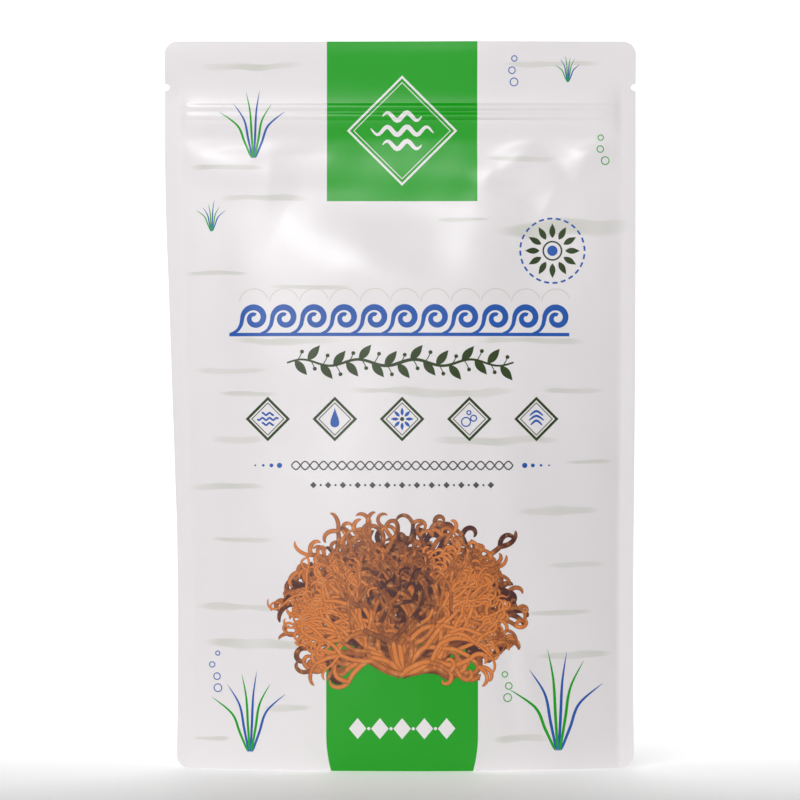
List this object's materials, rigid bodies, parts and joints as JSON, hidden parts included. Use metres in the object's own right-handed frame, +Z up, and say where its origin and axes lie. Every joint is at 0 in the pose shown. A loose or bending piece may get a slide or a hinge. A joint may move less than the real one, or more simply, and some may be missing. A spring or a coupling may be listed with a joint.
{
  "type": "stand-up pouch",
  "caption": "Resealable stand-up pouch of satin film with a bottom gusset, tear notches and a press-to-close zip, sealed and filled with dried seaweed.",
  "frame": {"origin": "middle of the base, on the surface that the pouch stands on", "axes": "+Z up along the pouch's height, +X across its width, and the printed front faces -Y"},
  "size_m": [0.18, 0.0396, 0.2774],
  "materials": {
    "film": "satin",
    "zip_plastic": "gloss",
    "dried_seaweed": "matte",
    "green_ink": "satin",
    "dark_green_ink": "satin",
    "blue_ink": "satin",
    "grey_ink": "satin",
    "seaweed_ink": "satin",
    "white_ink": "satin",
    "pale_ink": "satin"
  },
  "bodies": {
    "root": {"front_panel": "film", "back_panel": "film", "bottom_gusset": "film", "zip_channel": "zip_plastic", "zip_rib": "zip_plastic", "dried_moss_1": "dried_seaweed", "dried_moss_2": "dried_seaweed", "dried_moss_3": "dried_seaweed"}
  },
  "joints": []
}
